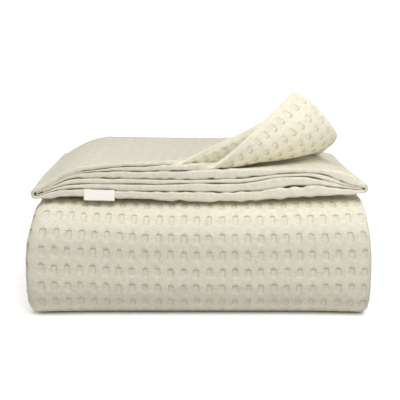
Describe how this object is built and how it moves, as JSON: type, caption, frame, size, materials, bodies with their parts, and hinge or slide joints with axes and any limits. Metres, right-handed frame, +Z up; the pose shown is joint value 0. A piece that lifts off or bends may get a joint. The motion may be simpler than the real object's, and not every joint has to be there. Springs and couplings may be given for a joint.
{
  "type": "waffle weave cotton blanket",
  "caption": "Folded blanket of cream waffle weave cotton, rolled into a flat block, with a bare label at the front hem and one corner turned back.",
  "frame": {"origin": "middle of the bottom of the bounding box, on the surface the folded blanket rests on", "axes": "+X to the right along the long side, +Y from the open front end to the back, +Z up"},
  "size_m": [0.3974, 0.3144, 0.2566],
  "materials": {
    "waffle_cotton": "matte waffle weave cotton",
    "label_tape": "smooth matte woven tape"
  },
  "bodies": {
    "root": {"blanket": "waffle_cotton", "label": "label_tape"}
  },
  "joints": []
}
